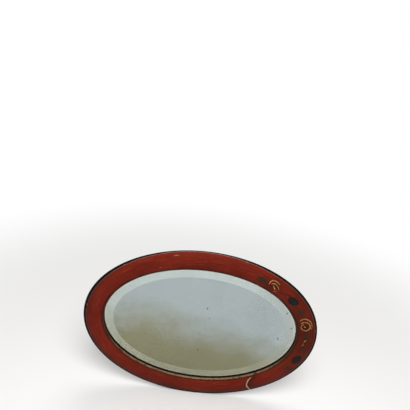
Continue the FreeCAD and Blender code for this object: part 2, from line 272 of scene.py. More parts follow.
# pale ground at knocks, and along the top arris partly a painted highlight
ARRIS_PALE = (0.29, 0.13, 0.09, 1)
GILT = (0.21, 0.135, 0.068, 1)
GILT_WORN = (0.095, 0.042, 0.018, 1)
GESSO = (0.66, 0.36, 0.27, 1)
RAW_WOOD = (0.17, 0.092, 0.045, 1)
RAW_WOOD_DARK = (0.075, 0.037, 0.018, 1)
BOARD_PALE = (0.3, 0.19, 0.1, 1)
BOARD_DARK = (0.15, 0.085, 0.043, 1)
PAPER = (0.36, 0.24, 0.13, 1)
PAPER_DARK = (0.27, 0.17, 0.09, 1)
BRASS = (0.56, 0.38, 0.15, 1)
BRASS_DULL = (0.3, 0.19, 0.075, 1)
STEEL = (0.42, 0.41, 0.39, 1)
STEEL_DULL = (0.24, 0.2, 0.165, 1)
GOLD_PAINT = (0.62, 0.32, 0.105, 1)
GOLD_PAINT_DEEP = (0.27, 0.11, 0.03, 1)
BLOSSOM_BLUE = (0.004, 0.016, 0.016, 1)
BLOSSOM_BLACK = (0.004, 0.005, 0.005, 1)
BLOSSOM_BROWN = (0.024, 0.008, 0.005, 1)
LEAF_UMBER = (0.05, 0.02, 0.007, 1)
LEAF_GREEN = (0.025, 0.02, 0.009, 1)
GLASS_CLEAR = (0.975, 0.99, 0.985, 1)
GLASS_HAZE = (0.935, 0.955, 0.945, 1)
SILVER_COOL = (0.38, 0.425, 0.445, 1)
# painted reflection: the silver's dim foot, the bevel's colours above and below, and a pale ring at the sight
# edge
SILVER_REFLECTED_FOOT = (0.265, 0.252, 0.155, 1)
BEVEL_REFLECTED_TOP = (0.53, 0.585, 0.575, 1)
BEVEL_REFLECTED_FOOT = (0.375, 0.365, 0.275, 1)
SILVER_RIM_HIGHLIGHT = (0.56, 0.53, 0.46, 1)
TARNISH = (0.16, 0.17, 0.15, 1)
TARNISH_DEEP = (0.05, 0.055, 0.048, 1)
BLACK = (0, 0, 0, 1)
WHITE = (1, 1, 1, 1)


def clamp(value, low=0, high=1):
    return min(max(value, low), high)


def bump(away, width):
    """A smooth hump: 1 in its middle, fading with the distance away."""
    return math.exp(-(away / width) ** 2)


def turn_between(turn, place):
    """Degrees from a place to a turn, the shorter way round."""
    return (turn - place + 180) % 360 - 180


def speed(turn, inset):
    """Millimetres along the oval for one degree of turn."""
    return math.radians(flat_place(turn + 90, inset).length)


def flat_place(turn, inset):
    angle = math.radians(turn)
    return Vector(((HALF_LENGTH - inset) * math.cos(angle), (HALF_HEIGHT - inset) * math.sin(angle)))


def circle_through(p, q, r):
    """Centre and radius of the circle through three flat points."""
    a, b, c = (complex(*point) for point in (p, q, r))
    ratio = (c - a) / (b - a)
    centre = a + (b - a) * (ratio - abs(ratio) ** 2) / (2j * ratio.imag)
    return centre.real, centre.imag, abs(a - centre)


def arc_points(p, q, r, count):
    """Points on the arc from p through q to r, without the last."""
    x, y, radius = circle_through(p, q, r)
    start = math.atan2(p[1] - y, p[0] - x)
    end = math.atan2(r[1] - y, r[0] - x)
    turns = [start + (end - start) * k / count for k in range(count)]
    return [(x + radius * math.cos(t), y + radius * math.sin(t)) for t in turns]


def line_points(p, q, count):
    return [(p[0] + (q[0] - p[0]) * k / count, p[1] + (q[1] - p[1]) * k / count) for k in range(count)]


# the section's corners from the outer back one round to it again, and the middles of its curved stretches
LIP_BACK = (MOULDING_WIDTH, LIP_BACK_HEIGHT)
CORNERS = (
    (BACK_BEVEL, 0), (0, SIDE_HEIGHT), (ROUND_WIDTH, ROUND_HEIGHT), (CUSHION_END, CUSHION_END_HEIGHT),
    (MOULDING_WIDTH, LIP_FRONT_HEIGHT), LIP_BACK, (REBATE_INSET, LIP_BACK_HEIGHT), (REBATE_INSET, 0))
HALF_ROOT = math.sqrt(0.5)
MIDDLES = {
    "round": (ROUND_WIDTH * (1 - HALF_ROOT), SIDE_HEIGHT + (ROUND_HEIGHT - SIDE_HEIGHT) * HALF_ROOT),
    "cushion": (CREST_INSET, CREST_HEIGHT),
    "gilt": ((CUSHION_END + MOULDING_WIDTH) / 2 + GILT_SWELL,
             (CUSHION_END_HEIGHT + LIP_FRONT_HEIGHT) / 2 + GILT_SWELL)}
CUSHION = circle_through(CORNERS[2], MIDDLES["cushion"], CORNERS[3])


def cushion_height(inset):
    """Height of the cushion face over the frame's back."""
    return CUSHION[1] + math.sqrt(CUSHION[2] ** 2 - (inset - CUSHION[0]) ** 2)


def measured_section():
    """Section points, the distance round to each, and where each stretch starts."""
    points = []
    starts = {}
    for (name, count), p, r in zip(ZONE_POINTS.items(), CORNERS, CORNERS[1:] + CORNERS[:1]):
        starts[name] = len(points)
        points += arc_points(p, MIDDLES[name], r, count) if name in MIDDLES else line_points(p, r, count)
    steps = [math.dist(p, q) for p, q in zip(points, points[1:] + points[:1])]
    girths = [0.0, *itertools.accumulate(steps)]
    return points, girths, {name: girths[k] * MM for name, k in starts.items()}


SECTION, GIRTHS, MARKS = measured_section()
END_MARK = 0.5


def end_triangles():
    """Fills the section in narrow strips, front to back, so that an end follows the bend of its joint."""
    turn_back = SECTION.index(LIP_BACK)
    front = [(k, 0) for k in range(1, turn_back + 1)]
    back = [(k, 1) for k in range(len(SECTION) - 1, turn_back, -1)]
    edge = [0, 0]
    triangles = []
    for k, side in heapq.merge(front, back, key=lambda step: SECTION[step[0]][0]):
        triangles.append((*edge, k))
        edge[side] = k
    return [corners for corners in triangles if len(set(corners)) == 3]


END_TRIANGLES = end_triangles()


# the joint's path from the outer edge to the sight edge
JOINT_CORNERS = (
    flat_place(JOINT_OUTER_ANGLE, 0), flat_place(JOINT_APEX_ANGLE, JOINT_APEX_INSET),
    flat_place(JOINT_INNER_ANGLE, MOULDING_WIDTH))


def path_turn(inset):
    """Turn at which the joint's straight-sided path crosses the oval at an inset."""
    stretch = JOINT_CORNERS[:2] if inset < JOINT_APEX_INSET else JOINT_CORNERS[1:]
    start, end = (Vector((p.x / (HALF_LENGTH - inset), p.y / (HALF_HEIGHT - inset))) for p in stretch)
    way = end - start
    slope = start.dot(way)
    rest = max(slope ** 2 - way.length_squared * (start.length_squared - 1), 0)
    point = start - way * (slope + math.sqrt(rest)) / way.length_squared
    return math.degrees(math.atan2(point.y, point.x))


def joint_turn(inset):
    """Turn of the joint at an inset, with the corner of its path eased."""
    ease = max(min(CORNER_EASE, inset, MOULDING_WIDTH - inset), 0)
    return (path_turn(inset - ease) + path_turn(inset) + path_turn(inset + ease)) / 3


def end_turn(end, inset):
    """Turn of a length's end at an inset."""
    return end[0] + end[1] * joint_turn(inset)


def crack_opening(inset, height):
    """How far the opened joint gapes at a point of the section."""
    depth = clamp((height - CRACK_FLOOR) / CRACK_DEPTH_FADE)
    taper = clamp((inset - CRACK_START) / CRACK_TAPER, CRACK_LEAST)
    slant = 1 + CRACK_SLANT_GAIN * clamp((inset - JOINT_APEX_INSET) / CRACK_SLANT_FADE)
    waves = math.sin(inset * CRACK_WAVES[0]) * math.sin(inset * CRACK_WAVES[1] + 1)
    return CRACK_WIDTH * depth * taper * slant * (1 + CRACK_RIPPLE * waves)


def section_ends(first, last, cracked):
    """Turns of a length's two ends at each point of the section, and mm per degree there."""
    rows = []
    for inset, height in SECTION:
        ends = [end_turn(first, inset), end_turn(last, inset)]
        rate = speed(ends[0], inset)
        for side, inwards in ((0, 1), (1, -1)):
            gap = GLUE_LINE / 2
            if cracked == side:
                gap += crack_opening(inset, height) / 2
            ends[side] += inwards * gap / rate
        rows.append((ends, rate))
    return rows


def column_shares(length):
    """Places of the cross-sections along one length, as shares of it."""
    plain = length - 2 * NEAR_REACH
    count = int(plain / COLUMN_STEP)
    middle = [NEAR_REACH + plain * k / count for k in range(count + 1)]
    far = [length - d for d in reversed(NEAR_COLUMNS)]
    return [d / length for d in [*NEAR_COLUMNS, *middle, *far]]


# distance along the crest at each degree of turn
RUN_TURNS = (-90, 360)
RUN_STEPS = [speed(turn + 0.5, CREST_INSET) for turn in range(*RUN_TURNS)]
RUN_ROWS = [0.0, *itertools.accumulate(RUN_STEPS)]


def run_at(turn):
    """Distance along the crest (m)."""
    place = turn - RUN_TURNS[0]
    k = min(int(place), len(RUN_ROWS) - 2)
    return (RUN_ROWS[k] + (RUN_ROWS[k + 1] - RUN_ROWS[k]) * (place - k)) * MM


def lifted_cover(inset, height):
    """Where the lacquer may lift along the opened joint: all over the cushion, not on the gilding."""
    if height < SIDE_HEIGHT - FACE_MARGIN:
        return 0
    return 1 - clamp((inset - LACQUER_END) / LACQUER_FADE)


def knock_strength(turn, girth):
    total = 0
    for place, middle, half_length, half_height in KNOCKS:
        away = (turn - place) * speed(place, CREST_INSET)
        total += bump(away, half_length) * bump(girth - middle, half_height)
    return min(total, 1)


# brown stains round the painting, and painted shade over the right end and the bottom rail
def stain_and_shade_strength(turn, inset):
    shades = [0]
    for place, middle, half_length, half_width, strength in STAINS_AND_SHADE:
        away = (turn - place) * speed(place, middle)
        shades.append(strength * bump(away, half_length) * bump(inset - middle, half_width))
    return max(shades)


def worn_and_lit_strength(turn):
    """Wear on the outer arris and the light from above on it: most along the top, little elsewhere."""
    return WORN_AND_LIT_LEAST + (1 - WORN_AND_LIT_LEAST) * bump(turn_between(turn, WORN_AND_LIT_TURN), WORN_AND_LIT_SPREAD)


def rim_reach(turn):
    """How far the dark edge reaches over the cushion: broad below, narrow at the upper right, none on top;
    its spread over the lower cushion is painted shade.
    """
    narrow = bump(turn_between(turn, RIM_NARROW_TURN), RIM_NARROW_SPREAD)
    return RIM_BROAD - RIM_TOP_LOSS * worn_and_lit_strength(turn) - RIM_NARROW_LOSS * narrow


def gilt_shown_share(turn):
    """How much of the sight edge shows its gold: all of it below, little at the ends and above, where painted
    shade stands for the slope turned from the light.
    """
    share = clamp((math.sin(math.radians(turn)) - GILT_FADE_START) / GILT_FADE_WIDTH)
    return 1 - GILT_SHADE_LOSS * share * share * (3 - 2 * share)


def surface_values(turn, inset, height, girth, away, cracked):
    """What the lacquer reads at one point of the moulding."""
    cover = lifted_cover(inset, height)
    beside = away[cracked or 0]
    bared = BARED_SHARE[cracked] * cover * bump(beside, BARED_WIDTH)
    return {
        "run": run_at(turn),
        "seam": min(away) * MM,
        "flake": LIFTED_SHARE[cracked] * cover * bump(beside, LIFTED_WIDTH),
        "knock": knock_strength(turn, girth),
        "worn": worn_and_lit_strength(turn),
        "stain": max(stain_and_shade_strength(turn, inset), bared) if height > SIDE_HEIGHT else 0,
        "gilding": gilt_shown_share(turn),
        "rim": rim_reach(turn) * MM}


class Wire:
    """A node's output, with plain sums on it made as nodes."""

    def __init__(self, tree, socket):
        self.tree = tree
        self.socket = socket

    def __add__(self, other):
        return calc("ADD", self, other)

    def __sub__(self, other):
        return calc("SUBTRACT", self, other)

    def __mul__(self, other):
        return calc("MULTIPLY", self, other)


def feed(value, socket):
    """Links a wire to a socket, or sets a plain value on it."""
    if isinstance(value, Wire):
        value.tree.links.new(value.socket, socket)
    else:
        socket.default_value = value


def feed_all(node, sockets):
    for key, value in sockets.items():
        feed(value, node.inputs[key])


def add_node(tree, kind, sockets=None, **settings):
    """A node with its settings made and its sockets fed."""
    made = tree.nodes.new(kind)
    for key, value in settings.items():
        setattr(made, key, value)
    feed_all(made, sockets or {})
    return made


def wire(tree, kind, output, sockets=None, **settings):
    """One output of a new node."""
    return Wire(tree, add_node(tree, kind, sockets, **settings).outputs[output])


def wires(node):
    """A node's named outputs in order."""
    return [Wire(node.id_data, socket) for socket in node.outputs if socket.name]


def calc(operation, a, b=0):
    return wire(a.tree, "ShaderNodeMath", 0, {0: a, 1: b}, operation=operation)


def most(first, *others):
    for other in others:
        first = calc("MAXIMUM", first, other)
    return first


def new_group(name, kind, inputs, outputs):
    """A node group with named sockets: its tree, its inputs in order and its last node."""
    tree = bpy.data.node_groups.new(name, kind)
    for side, sockets in (("INPUT", inputs), ("OUTPUT", outputs)):
        for label, value in sockets.items():
            tree.interface.new_socket(label, in_out=side, socket_type="NodeSocket" + value)
    return tree, wires(add_node(tree, "NodeGroupInput")), add_node(tree, "NodeGroupOutput")


def shape_group(name, inputs):
    """A geometry tree with named inputs, a shape and a finish among them."""
    inputs = {"Geometry": "Geometry", **inputs, "Finish": "Material"}
    return new_group(name, "GeometryNodeTree", inputs, {"Geometry": "Geometry"})


def end_shape(shape, finish, leave):
    """Makes instances real and gives the shape its finish."""
    real = wire(shape.tree, "GeometryNodeRealizeInstances", 0, {0: shape})
    dressed = wire(shape.tree, "GeometryNodeSetMaterial", 0, {"Geometry": real, "Material": finish})
    feed(dressed, leave.inputs[0])


def oval_wrap_tree():
    """Wraps a flat layout of turn, inset and height round the oval."""
    inputs = {"Half length": "Float", "Half height": "Float", "Frame back": "Float", "Unit": "Float"}
    tree, (shape, half_length, half_height, back, unit, finish), leave = shape_group("oval_wrap", inputs)
    layout = wire(tree, "GeometryNodeInputPosition", 0)
    turn, inset, height = wires(add_node(tree, "ShaderNodeSeparateXYZ", {0: layout}))
    angle = calc("RADIANS", turn)
    x = (half_length - inset) * calc("COSINE", angle)
    y = (back + height) * -1
    z = (half_height - inset) * calc("SINE", angle)
    flat = wire(tree, "ShaderNodeCombineXYZ", 0, {0: x, 1: y, 2: z})
    place = wire(tree, "ShaderNodeVectorMath", 0, {0: flat, "Scale": unit}, operation="SCALE")
    moved = wire(tree, "GeometryNodeSetPosition", 0, {"Geometry": shape, "Position": place})
    end_shape(moved, finish, leave)
    return tree


def spot_tree():
    """Sets a small flake on each point of a mesh, turned and sized by a fixed seed."""
    inputs = {"Flake": "Object", "Least size": "Float", "Most size": "Float", "Seed": "Int"}
    tree, (points, flake, least, largest, seed, finish), leave = shape_group("tarnish_spots", inputs)
    shape = wire(tree, "GeometryNodeObjectInfo", "Geometry", {"Object": flake})
    size = wire(tree, "FunctionNodeRandomValue", 1, {2: least, 3: largest, "Seed": seed}, data_type="FLOAT")
    turns = {0: (0, 0, 0), 1: FLAKE_SPIN, "Seed": seed}
    spin = wire(tree, "FunctionNodeRandomValue", 0, turns, data_type="FLOAT_VECTOR")
    sockets = {"Points": points, "Instance": shape, "Rotation": spin, "Scale": size}
    end_shape(wire(tree, "GeometryNodeInstanceOnPoints", 0, sockets), finish, leave)
    return tree


def apply_tree(piece, tree, *values):
    """Runs a geometry tree on a piece, with its inputs in order, and keeps the result as a plain mesh."""
    modifier = piece.modifiers.new(tree.name, "NODES")
    modifier.node_group = tree
    sockets = [item for item in tree.interface.items_tree if item.in_out == "INPUT"]
    for socket, value in zip(sockets[1:], values):
        modifier[socket.identifier] = value
    graph = bpy.context.evaluated_depsgraph_get()
    shaped = piece.evaluated_get(graph)
    result = bpy.data.meshes.new_from_object(shaped, preserve_all_data_layers=True, depsgraph=graph)
    piece.modifiers.remove(modifier)
    piece.data = result
    result.name = piece.name


def add_object(name, data):
    made = bpy.data.objects.new(name, data)
    bpy.context.scene.collection.objects.link(made)
    return made


def flat_object(name, points, faces):
    mesh = bpy.data.meshes.new(name)
    mesh.from_pydata(points, [], faces)
    return add_object(name, mesh)


def set_values(mesh, name, domain, values):
    layer = mesh.attributes.new(name, "FLOAT", domain)
    layer.data.foreach_set("value", values)


def smooth_outside(piece, sharp_degrees):
    """Turns faces outwards, shades smooth and keeps real arrises sharp."""
    mesh = piece.data
    work = bmesh.new()
    work.from_mesh(mesh)
    bmesh.ops.recalc_face_normals(work, faces=work.faces)
    work.to_mesh(mesh)
    work.free()
    mesh.shade_smooth()
    mesh.set_sharp_from_angle(angle=math.radians(sharp_degrees))


def wrap(piece, finish, sharp_degrees):
    apply_tree(piece, WRAP, HALF_LENGTH, HALF_HEIGHT, FRAME_BACK, MM, finish)
    smooth_outside(piece, sharp_degrees)


def keep(piece, slot, *nodes):
    """Joins a finished piece to the mirror's body."""
    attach(piece, ROOT_BODY)
    if nodes:
        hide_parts(*nodes)


def neighbours(count):
    """Each place in a ring with the next one round."""
    return [(k, (k + 1) % count) for k in range(count)]


def ring_faces(rows, count):
    """Four-sided faces between neighbouring rings of points."""
    faces = []
    for low in range(0, (rows - 1) * count, count):
        high = low + count
        faces += [(low + k, low + n, high + n, high + k) for k, n in neighbours(count)]
    return faces


def closed_faces(rows, count):
    """Faces between rings of points, and a face over each end."""
    last = (rows - 1) * count
    return [*ring_faces(rows, count), tuple(range(count)), tuple(range(last, last + count))]


def moulding_faces(columns):
    """A length's faces, and the way round the section at each of their corners."""
    sides = len(SECTION)
    faces = ring_faces(columns, sides)
    girths = []
    for low, high in zip(GIRTHS, GIRTHS[1:]):
        girths += [low * MM, high * MM, high * MM, low * MM]
    girths *= columns - 1
    for c in (0, columns - 1):
        faces += [tuple(c * sides + k for k in corners) for corners in END_TRIANGLES]
        girths += [END_MARK] * 3 * len(END_TRIANGLES)
    return faces, girths


def moulding_length(name, first, last, cracked):
    """One length of the frame between two joints, with the values that its lacquer reads."""
    crest_run = run_at(end_turn(last, CREST_INSET)) - run_at(end_turn(first, CREST_INSET))
    shares = column_shares(crest_run / MM)
    rows = section_ends(first, last, cracked)
    points, values = [], []
    for share in shares:
        for (inset, height), girth, (ends, rate) in zip(SECTION, GIRTHS, rows):
            turn = ends[0] + (ends[1] - ends[0]) * share
            away = [abs(turn - end) * rate for end in ends]
            points.append((turn, inset, height))
            values.append(surface_values(turn, inset, height, girth, away, cracked))
    faces, girths = moulding_faces(len(shares))
    piece = flat_object(name, points, faces)
    set_values(piece.data, "girth", "CORNER", girths)
    for label in values[0]:
        set_values(piece.data, label, "POINT", [row[label] for row in values])
    return piece


def oval_plate(name, rows, finish):
    """A closed oval plate: rows of inset and height round its rim, between shrinking rings on both faces."""
    rings = [(share, rows[0]) for share in PLATE_SHARES]
    rings += [(1, row) for row in rows]
    rings += [(share, rows[-1]) for share in reversed(PLATE_SHARES)]
    points = []
    for share, (inset, height) in rings:
        for k in range(PLATE_SIDES):
            flat = flat_place(k * 360 / PLATE_SIDES, inset) * share
            points.append(Vector((flat.x, -(FRAME_BACK + height), flat.y)) * MM)
    faces = ring_faces(len(rings), PLATE_SIDES)
    for base in (0, len(points) - PLATE_SIDES):
        faces += [(base + k, base + n, len(points)) for k, n in neighbours(PLATE_SIDES)]
        points.append(Vector((0, points[base].y, 0)))
    piece = flat_object(name, points, faces)
    piece.data.materials.append(finish)
    smooth_outside(piece, PLATE_SHARP)
    return piece


def stroke(points, widths, lift):
    """A raised brush stroke on the cushion: points of turn and inset, half widths in mm."""
    flat = []
    for k, (turn, inset) in enumerate(points):
        before = points[max(k - 1, 0)]
        after = points[min(k + 1, len(points) - 1)]
        rate = speed(turn, inset)
        along = Vector(((after[0] - before[0]) * rate, after[1] - before[1])).normalized()
        body = lift * min(1, widths[k] / STROKE_FULL)
        rises = [(share, body * (1 - share * share) - STROKE_EDGE) for share in STROKE_SHARES]
        for share, rise in rises + [(1, -STROKE_ROOT), (-1, -STROKE_ROOT)]:
            reach = share * widths[k]
            place = inset + along.x * reach
            height = cushion_height(clamp(place, ROUND_WIDTH, CUSHION_END)) + rise
            flat.append((turn - along.y * reach / rate, place, height))
    return flat, closed_faces(len(points), len(STROKE_SHARES) + 2)


def join_strokes(strokes):
    points, faces = [], []
    for flat, sides in strokes:
        base = len(points)
        points += flat
        faces += [tuple(base + v for v in face) for face in sides]
    return points, faces


def local(centre, across, inward):
    """A place near a centre, by millimetres along the oval and inwards."""
    return (centre[0] + across / speed(centre[0], centre[1]), centre[1] + inward)


def near(centre, places):
    return [local(centre, *place) for place in places]


def curve_points(controls, count):
    """Smooth points through a few controls."""
    padded = [controls[0], *controls, controls[-1]]
    result = []
    spans = len(controls) - 1
    for k in range(count + 1):
        place = min(k / count * spans, spans - 1e-6)
        s = int(place)
        t = place - s
        a, b, c, d = (Vector(p) for p in padded[s:s + 4])
        value = 2 * b + (c - a) * t
        value += (2 * a - 5 * b + 4 * c - d) * t * t
        value += (3 * b - a - 3 * c + d) * t ** 3
        result.append((value.x / 2, value.y / 2))
    return result


def brush(controls, half_width, lift=0.28, count=28, tail=0.25):
    """A painted line, full at its start and thinner at its tail, with a slight waver."""
    widths = []
    for k in range(count + 1):
        s = k / count
        thinned = 1 - (1 - tail) * max(s - TAIL_START, 0) / (1 - TAIL_START)
        waver = 1 + WAVER * math.sin(WAVER_RATE * s + WAVER_SHIFT * half_width)
        widths.append(half_width * min(1, s / TIP_LENGTH + TIP_SHARE) * thinned * waver)
    return stroke(curve_points(controls, count), widths, lift)


def blade(controls, half_width, lift=0.2, count=18):
    """A leaf or petal: pointed at both ends, fullest before its middle."""
    widths = []
    for k in range(count + 1):
        swell = math.sin(math.pi * (k / count) ** BLADE_FULLNESS) ** BLADE_FULLNESS
        widths.append(max(half_width * swell, LEAST_BLADE))
    return stroke(curve_points(controls, count), widths, lift)


def daub(centre, radius, lift=0.35, stretch=1):
    """A round dab of paint, longer along the frame where it is stretched."""
    shares = [2 * k / DAUB_STEPS - 1 for k in range(DAUB_STEPS + 1)]
    points = [local(centre, radius * stretch * share * DAUB_REACH, 0) for share in shares]
    widths = [max(radius * math.sqrt(1 - share ** 2), LEAST_DAUB) for share in shares]
    return stroke(points, widths, lift)


def scroll(centre, rows, half_width, count, tail):
    """A painted curl: rows of angle in degrees and radius, seen from its centre."""
    places = []
    for angle, radius in rows:
        a = math.radians(angle)
        places.append(local(centre, radius * math.cos(a), radius * math.sin(a)))
    return brush(places, half_width, count=count, tail=tail)


def gold_strokes():
    strokes = [daub(UPPER_DAB, 2), daub(local(LOWER_SCROLL, *LOWER_DAB), 2.5),
               scroll(LOWER_SCROLL, LOWER_SWEEP, 1.75, 40, 0.3),
               scroll(LOWER_SCROLL, LOWER_RING, 1.6, 70, 0.6)]
    strokes += [brush(controls, half_width, tail=tail) for controls, half_width, tail in UPPER_SCROLL]
    for places, half_width in SPRIG_STROKES:
        strokes.append(brush(near(SPRIG, places), half_width, count=SHORT_STROKE))
    return strokes


def leaf_strokes():
    strokes = [brush(near(FIRST_SPRAY, FIRST_STEM), 0.6, count=SHORT_STROKE),
               brush(MIDDLE_STEM, 0.6, lift=STEM_LIFT, count=SHORT_STROKE),
               brush(near(LAST_SPRAY, LAST_STEM), 0.7, lift=STEM_LIFT)]
    for centre, leaves in LEAVES:
        strokes += [blade(near(centre, places), half_width) for *places, half_width in leaves]
    return strokes


def petal(centre, radius, stretch, angle):
    """One broad petal, bowed to one side and longer along the frame."""
    out = Vector((math.cos(angle), math.sin(angle)))
    side = Vector((-out.y, out.x)) * radius * PETAL_BOW
    places = []
    for share in PETAL_SHARES:
        spot = out * radius * share + side * math.sin(math.pi * share)
        places.append(local(centre, spot.x * stretch, spot.y))
    return blade(places, radius * PETAL_WIDTH, lift=0.3)


def petal_strokes():
    """Petals round each blossom's middle, and the upper one's stem."""
    strokes = []
    for centre, radius, stretch, first_angle in BLOSSOMS:
        strokes.append(daub(centre, radius * MIDDLE_SHARE, 0.22, stretch))
        for k in range(PETALS):
            strokes.append(petal(centre, radius, stretch, math.radians(first_angle + 360 * k / PETALS)))
    strokes.append(brush(BLOSSOM_STEM, 1.5, lift=0.2, tail=0.9))
    return strokes


def heart_strokes():
    return [daub(local(centre, shift, 0), radius, 0.5, stretch) for centre, shift, radius, stretch in HEARTS]


def noise(vector, scale, detail=4, rough=0.55):
    sockets = {"Vector": vector, "Scale": scale, "Detail": detail, "Roughness": rough}
    return wire(vector.tree, "ShaderNodeTexNoise", "Fac", sockets)


def stretched(vector, scale):
    return wire(vector.tree, "ShaderNodeMapping", 0, {"Vector": vector, "Scale": scale})


def streaks(vector, scales, *texture):
    """Noise with its own scale along each axis."""
    return noise(stretched(vector, scales), 1, *texture)


def between(value, low, high, to_low=0, to_high=1):
    """A smooth step of a value from low to high."""
    sockets = {"Value": value, "From Min": low, "From Max": high, "To Min": to_low, "To Max": to_high}
    return wire(value.tree, "ShaderNodeMapRange", "Result", sockets, interpolation_type="SMOOTHSTEP")


def between_mm(value, low, high, *ends):
    """A smooth step of a distance, with its limits in millimetres."""
    return between(value, low * MM, high * MM, *ends)


def blend(share, a, b):
    """Mixes two colours."""
    return wire(share.tree, "ShaderNodeMix", 2, {0: share, 6: a, 7: b}, data_type="RGBA")


def layered(colour, *layers):
    """A colour with others laid over it, each as its share and its colour."""
    for share, over in layers:
        colour = blend(share, colour, over)
    return colour


def surface_value(tree, name):
    return wire(tree, "ShaderNodeAttribute", "Fac", attribute_name=name)


def patina_group():
    """Cloudy ageing and fine dark specks."""
    inputs = {"Vector": "Vector", "Cloud scale": "Float", "Speck scale": "Float"}
    outputs = {"Cloud": "Float", "Specks": "Float"}
    tree, (place, cloud_scale, speck_scale), leave = new_group("patina", "ShaderNodeTree", inputs, outputs)
    cloud = noise(place, cloud_scale, 7, 0.62)
    specks = noise(place, speck_scale, 3, 0.6)
    feed_all(leave, {"Cloud": between(cloud, 0.34, 0.68), "Specks": between(specks, 0.66, 0.74)})
    return tree


def grain_group():
    """Long wood grain with darker growth lines and open pores."""
    inputs = {"Vector": "Vector", "Line scale": "Float"}
    outputs = {"Grain": "Float", "Pores": "Float"}
    tree, (place, line_scale), leave = new_group("wood_grain", "ShaderNodeTree", inputs, outputs)
    along = stretched(place, (0.35, 1, 1))
    sockets = {"Vector": along, "Scale": line_scale, "Distortion": 7, "Detail": 4, "Detail Scale": 1.4}
    lines = wire(tree, "ShaderNodeTexWave", "Fac", sockets, wave_type="BANDS", bands_direction="Z")
    fine = streaks(place, (12, 400, 400), 5, 0.6)
    pores = streaks(place, (30, 900, 900), 2, 0.5)
    feed_all(leave, {"Grain": lines * 0.55 + fine * 0.45, "Pores": between(pores, 0.6, 0.72)})
    return tree


WRAP = oval_wrap_tree()
SPOTS = spot_tree()
PATINA = patina_group()
GRAIN = grain_group()


def use_group(group, place, *values):
    """A shared effect on a surface: its outputs in order, for the values of its inputs in order."""
    sockets = dict(enumerate((place, *values)))
    return wires(add_node(place.tree, "ShaderNodeGroup", sockets, node_tree=group))


def new_finish(name):
    """A material, its shader and the place on the piece that its patterns read."""
    made = bpy.data.materials.new(name)
    made.use_nodes = True
    tree = made.node_tree
    return made, tree.nodes["Principled BSDF"], wire(tree, "ShaderNodeTexCoord", "Object")


def coat(shader, colour, rough, metallic=0, specular=0.5):
    feed_all(shader, {"Base Color": colour, "Roughness": rough, "Metallic": metallic,
                      "Specular IOR Level": specular})


def raise_bump(shader, height, strength, distance):
    sockets = {"Strength": strength, "Distance": distance * MM, "Height": height}
    feed(wire(height.tree, "ShaderNodeBump", 0, sockets), shader.inputs["Normal"])


def lacquer_red(cloud, specks, brushed, wander):
    """Old red lacquer: clouds, brush marks, specks, brown stains and painted shade over the right end and the
    bottom rail.
    """
    stain = surface_value(wander.tree, "stain") * between(wander, 0.2, 0.7, 0.75, 1)
    return layered(RED, (cloud, RED_DEEP), (between(brushed, 0.46, 0.72, 0, 0.75), RED_BRIGHT),
                   (specks * 0.4, EDGE_DARK), (stain, STAIN_AND_SHADE_BROWN))


def outer_edge(colour, edge, wander):
    """The dark outer edge, painted shade on the outer cushion away from the top, and the pale rubbed arris,
    partly a painted highlight along the top: colour and the edge's mask.
    """
    worn = surface_value(wander.tree, "worn")
    inside = edge - (surface_value(wander.tree, "rim") + MARKS["cushion"])
    # painted shade: the outer cushion darker towards the dark edge, except along the top where the light
    # falls
    shade = between_mm(inside, 0, 18, 0.62, 0) * between(worn, 0.1, 0.6, 1, 0)
    # dark outer edge: its own dark finish, and painted shade where it spreads over the lower cushion
    dark = between_mm(inside, -0.6, 0.8, 1, 0)
    # pale rubbed arris, strongest along the top: wear and a painted highlight
    rub_and_highlight = between_mm(calc("ABSOLUTE", inside - 1 * MM), 0.3, 1.4, 1, 0)
    rub_and_highlight = rub_and_highlight * between(worn, 0.2, 1, 0.4, 1) * between(wander, 0.28, 0.5)
    return layered(colour, (shade, RED_PAINTED_SHADE), (dark, EDGE_DARK), (rub_and_highlight, ARRIS_PALE)), dark


def gilt_slope(colour, edge, wander):
    """The toned inner margin, the gilding with its wear, giving way to painted shade at the ends and above,
    and the dark lip, partly painted shade in the rebate: colour and the mask of gold leaf.
    """
    to_gilt = edge - MARKS["gilt"]
    toned = between_mm(to_gilt, -6, -0.8, 0, 0.85)
    gilded = between_mm(to_gilt, 0, 1.2)
    # painted shade: the gold gives way to the brown ground at the ends and above, where the slope turns from
    # the light
    gilt_shown = gilded * surface_value(wander.tree, "gilding")
    tired = between(wander, 0.36, 0.58)
    # dark lip down to the glass: its own dark finish and painted shade in the rebate
    lip = between_mm(edge - MARKS["lip"], -1.8, -0.6)
    gilding = blend(tired, GILT_WORN, GILT)
    colour = layered(colour, (toned, STAIN_AND_SHADE_BROWN), (gilded, STAIN_AND_SHADE_BROWN), (gilt_shown, gilding), (lip, EDGE_DARK))
    return colour, (gilt_shown - lip) * tired


def bare_back(colour, girth, place):
    """Bare grained wood behind the lip and on the back: colour and its mask."""
    grain = use_group(GRAIN, place, 11)[0]
    behind = between_mm(girth - MARKS["under"], -0.1, 0.1)
    return blend(behind, colour, blend(grain, RAW_WOOD_DARK, RAW_WOOD)), behind


def joint_marks(colour, girth, wander, behind):
    """Pale ground beside the opened joint, dark seams and dark ends: colour and the ground's mask."""
    flaked = between(surface_value(girth.tree, "flake") + wander * 1.25, 1.14, 1.24)
    flaked = flaked - flaked * behind
    seam = between_mm(surface_value(girth.tree, "seam"), 0.12, 0.5, 0.7, 0)
    ends = calc("GREATER_THAN", girth, END_MARK - 0.1)
    return layered(colour, (flaked, GESSO), (seam, EDGE_DARK), (ends, RAW_WOOD_DARK)), flaked


